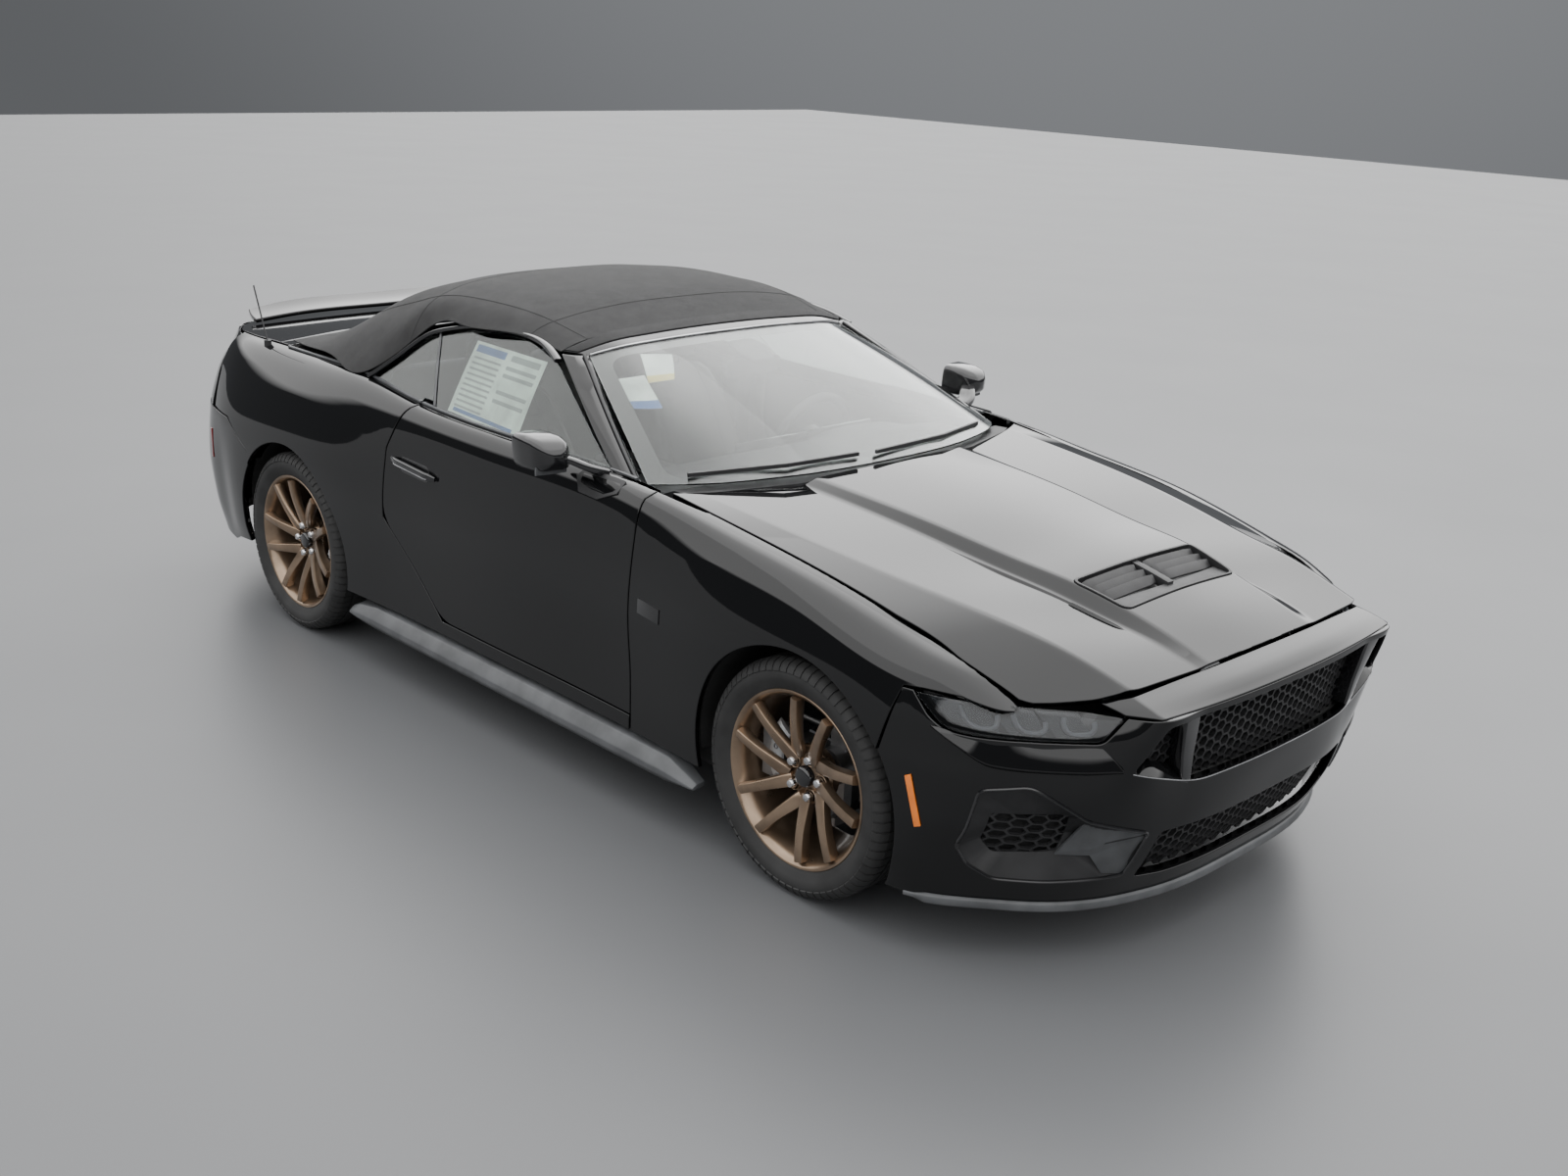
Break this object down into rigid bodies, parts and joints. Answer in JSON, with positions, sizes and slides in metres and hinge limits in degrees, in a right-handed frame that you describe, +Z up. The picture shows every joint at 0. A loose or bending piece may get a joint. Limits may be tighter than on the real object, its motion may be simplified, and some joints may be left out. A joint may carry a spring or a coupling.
{
  "type": "two-door convertible muscle car",
  "caption": "Two-door convertible muscle car with its soft top up: rolling wheels, coupled front steering, opening doors, hood and decklid, hollow cabin.",
  "frame": {"origin": "on the floor under the middle of the car's bounding box", "axes": "+Z up, nose towards -Y, the car's own left towards +X"},
  "size_m": [2.064, 4.8083, 1.4],
  "materials": {
    "body_paint": "gloss black paint with clear coat",
    "gloss_black_trim": "gloss black trim",
    "black_plastic": "fine-grained moulded black plastic",
    "satin_grey_plastic": "satin dark grey lower trim",
    "lamp_clear": "smoked lamp lens",
    "lamp_red": "red lamp lens",
    "clear_glass": "lightly tinted glass",
    "soft_top_fabric": "black woven roof cloth",
    "underbody": "dark primer and seam sealer",
    "cabin_plastic": "soft-touch cabin plastic",
    "wheel_leather": "black leather rim",
    "seat_leather": "black seat leather",
    "engine_iron": "cast block",
    "suspension_steel": "black chassis coating",
    "exhaust_steel": "brushed stainless",
    "bronze_wheel": "satin bronze coated alloy",
    "tyre_rubber": "tyre rubber",
    "antenna_black": "black moulded mast"
  },
  "bodies": {
    "car": {"antenna": "antenna_black", "centre_console": "cabin_plastic", "cowl_panel": "black_plastic", "dashboard": "cabin_plastic", "engine_block": "engine_iron", "exhaust": "exhaust_steel", "floor_pan": "underbody", "floor_structure": "underbody", "front_bumper": "body_paint", "front_fender_left": "body_paint", "front_fender_right": "body_paint", "front_grilles": "black_plastic", "front_seats": "seat_leather", "front_splitter": "satin_grey_plastic", "front_subframe": "suspension_steel", "headlamps": "lamp_clear", "quarter_glass": "clear_glass", "quarter_panel_left": "body_paint", "quarter_panel_right": "body_paint", "rear_axle": "suspension_steel", "rear_bumper": "body_paint", "rear_deck": "body_paint", "rear_diffuser": "black_plastic", "rear_seat": "seat_leather", "rear_window": "clear_glass", "side_skirts": "satin_grey_plastic", "soft_top": "soft_top_fabric", "steering_wheel": "wheel_leather", "tail_lamps": "lamp_red", "tail_panel": "body_paint", "wheel_arch_liners": "black_plastic", "windshield": "clear_glass", "windshield_frame": "gloss_black_trim", "wipers": "black_plastic"},
    "hood": {"hood": "body_paint", "hood_vent": "black_plastic"},
    "decklid": {"decklid": "body_paint", "rear_spoiler": "body_paint"},
    "door_left": {"door_left": "body_paint", "door_glass_left": "clear_glass", "mirror_left": "body_paint"},
    "door_right": {"door_right": "body_paint", "door_glass_right": "clear_glass", "mirror_right": "body_paint"},
    "knuckle_left": {"knuckle_left": "suspension_steel"},
    "knuckle_right": {"knuckle_right": "suspension_steel"},
    "wheel_front_left": {"wheel_front_left": "bronze_wheel", "tyre_front_left": "tyre_rubber"},
    "wheel_front_right": {"wheel_front_right": "bronze_wheel", "tyre_front_right": "tyre_rubber"},
    "wheel_rear_left": {"wheel_rear_left": "bronze_wheel", "tyre_rear_left": "tyre_rubber"},
    "wheel_rear_right": {"wheel_rear_right": "bronze_wheel", "tyre_rear_right": "tyre_rubber"}
  },
  "joints": [
    {"name": "steer_left", "type": "hinge", "parent": "car", "child": "knuckle_left", "pos_m": [0.752, -1.4555, 0.343], "axis": [0, 0, 1], "range_deg": [-33, 33]},
    {"name": "steer_right", "type": "hinge", "parent": "car", "child": "knuckle_right", "pos_m": [-0.752, -1.4555, 0.343], "axis": [0, 0, 1], "range_deg": [-33, 33]},
    {"name": "wheel_front_left_roll", "type": "hinge", "parent": "knuckle_left", "child": "wheel_front_left", "pos_m": [0.791, -1.4555, 0.343], "axis": [1, 0, 0], "continuous": true},
    {"name": "wheel_front_right_roll", "type": "hinge", "parent": "knuckle_right", "child": "wheel_front_right", "pos_m": [-0.791, -1.4555, 0.343], "axis": [1, 0, 0], "continuous": true},
    {"name": "wheel_rear_left_roll", "type": "hinge", "parent": "car", "child": "wheel_rear_left", "pos_m": [0.805, 1.2635, 0.343], "axis": [1, 0, 0], "continuous": true},
    {"name": "wheel_rear_right_roll", "type": "hinge", "parent": "car", "child": "wheel_rear_right", "pos_m": [-0.805, 1.2635, 0.343], "axis": [1, 0, 0], "continuous": true},
    {"name": "door_left_swing", "type": "hinge", "parent": "car", "child": "door_left", "pos_m": [0.884, -0.698, 0.6], "axis": [0, 0, -1], "range_deg": [0, 62]},
    {"name": "door_right_swing", "type": "hinge", "parent": "car", "child": "door_right", "pos_m": [-0.884, -0.698, 0.6], "axis": [0, 0, 1], "range_deg": [0, 62]},
    {"name": "hood_lift", "type": "hinge", "parent": "car", "child": "hood", "pos_m": [0, -0.764, 0.986], "axis": [-1, 0, 0], "range_deg": [0, 50]},
    {"name": "decklid_lift", "type": "hinge", "parent": "car", "child": "decklid", "pos_m": [0, 1.64, 1.056], "axis": [1, 0, 0], "range_deg": [0, 75]}
  ],
  "couplings": [
    {"joint": "steer_right", "follows": "steer_left", "ratio": 1}
  ]
}
